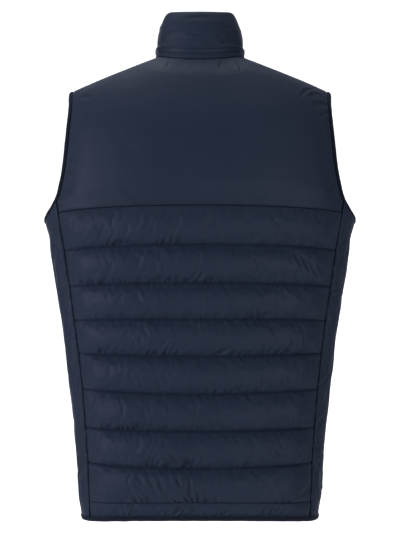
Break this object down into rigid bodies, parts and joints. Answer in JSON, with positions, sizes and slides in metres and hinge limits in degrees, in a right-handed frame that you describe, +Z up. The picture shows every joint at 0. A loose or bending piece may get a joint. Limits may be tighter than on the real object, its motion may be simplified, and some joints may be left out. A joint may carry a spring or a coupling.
{
  "type": "quilted vest",
  "caption": "Padded sleeveless vest with a plain yoke over level quilted channels, a stand collar, bound armholes and hem and a front zip, filled out as if worn.",
  "frame": {"origin": "midway between the shoulders, level with the inner face of the shoulder seams 134 mm to each side, where the wearer's shoulders carry the vest", "axes": "+Z up, -Y out of the zipped front, +Y out of the back, +X to the wearer's left"},
  "size_m": [0.4836, 0.2416, 0.7777],
  "materials": {
    "shell": "satin",
    "binding": "matte",
    "tape": "matte",
    "teeth": "gloss",
    "metal": "satin"
  },
  "bodies": {
    "garment": {"back_quilted": "shell", "back_yoke": "shell", "front_left": "shell", "front_right": "shell", "side_panel_left": "shell", "side_panel_right": "shell", "collar": "shell", "armhole_binding_left": "binding", "armhole_binding_right": "binding", "hem_binding": "binding", "zip_tape_left": "tape", "zip_tape_right": "tape", "zip_chain": "teeth", "zip_box": "teeth", "zip_slider": "metal"},
    "pull_tab": {"zip_pull": "metal"}
  },
  "joints": [
    {"name": "pull_swing", "type": "hinge", "parent": "garment", "child": "pull_tab", "pos_m": [0, -0.09066, 0.01842], "axis": [-1, 0, 0], "range_deg": [0, 150]}
  ]
}
